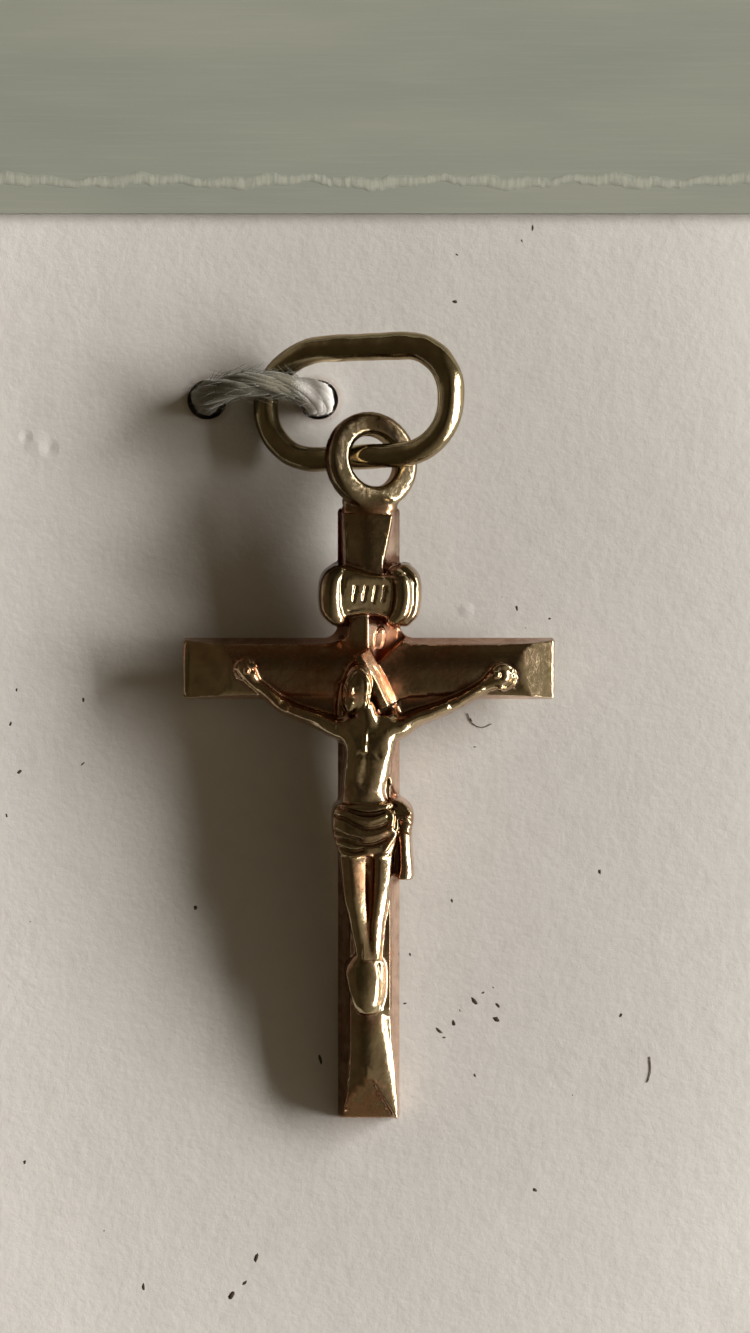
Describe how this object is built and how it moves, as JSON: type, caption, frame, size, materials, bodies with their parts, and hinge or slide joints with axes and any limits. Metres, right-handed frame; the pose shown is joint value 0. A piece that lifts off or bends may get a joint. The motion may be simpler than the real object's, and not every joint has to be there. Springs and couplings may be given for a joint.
{
  "type": "crucifix pendant on display card",
  "caption": "Small gold crucifix pendant with a raised figure, title scroll and loop ring, on an oval link tied by a thread to a display card.",
  "frame": {"origin": "middle of the card's underside, which lies on the table", "axes": "+Z out of the card's front, +Y along the card towards its header strip, +X to the right as the front is read"},
  "size_m": [0.05, 0.07, 0.0054],
  "materials": {
    "gold": "worn polish, tarnished olive and rose in the recesses",
    "link_gold": "worn polish, tarnished",
    "cotton": "soft twisted cotton",
    "card": "matt off-white with faint dents and dust",
    "header_film": "glossy grey-green film, pale along its weld"
  },
  "bodies": {
    "root": {"crucifix": "gold", "oval_link": "link_gold", "thread": "cotton", "card": "card", "card_header": "header_film"}
  },
  "joints": []
}
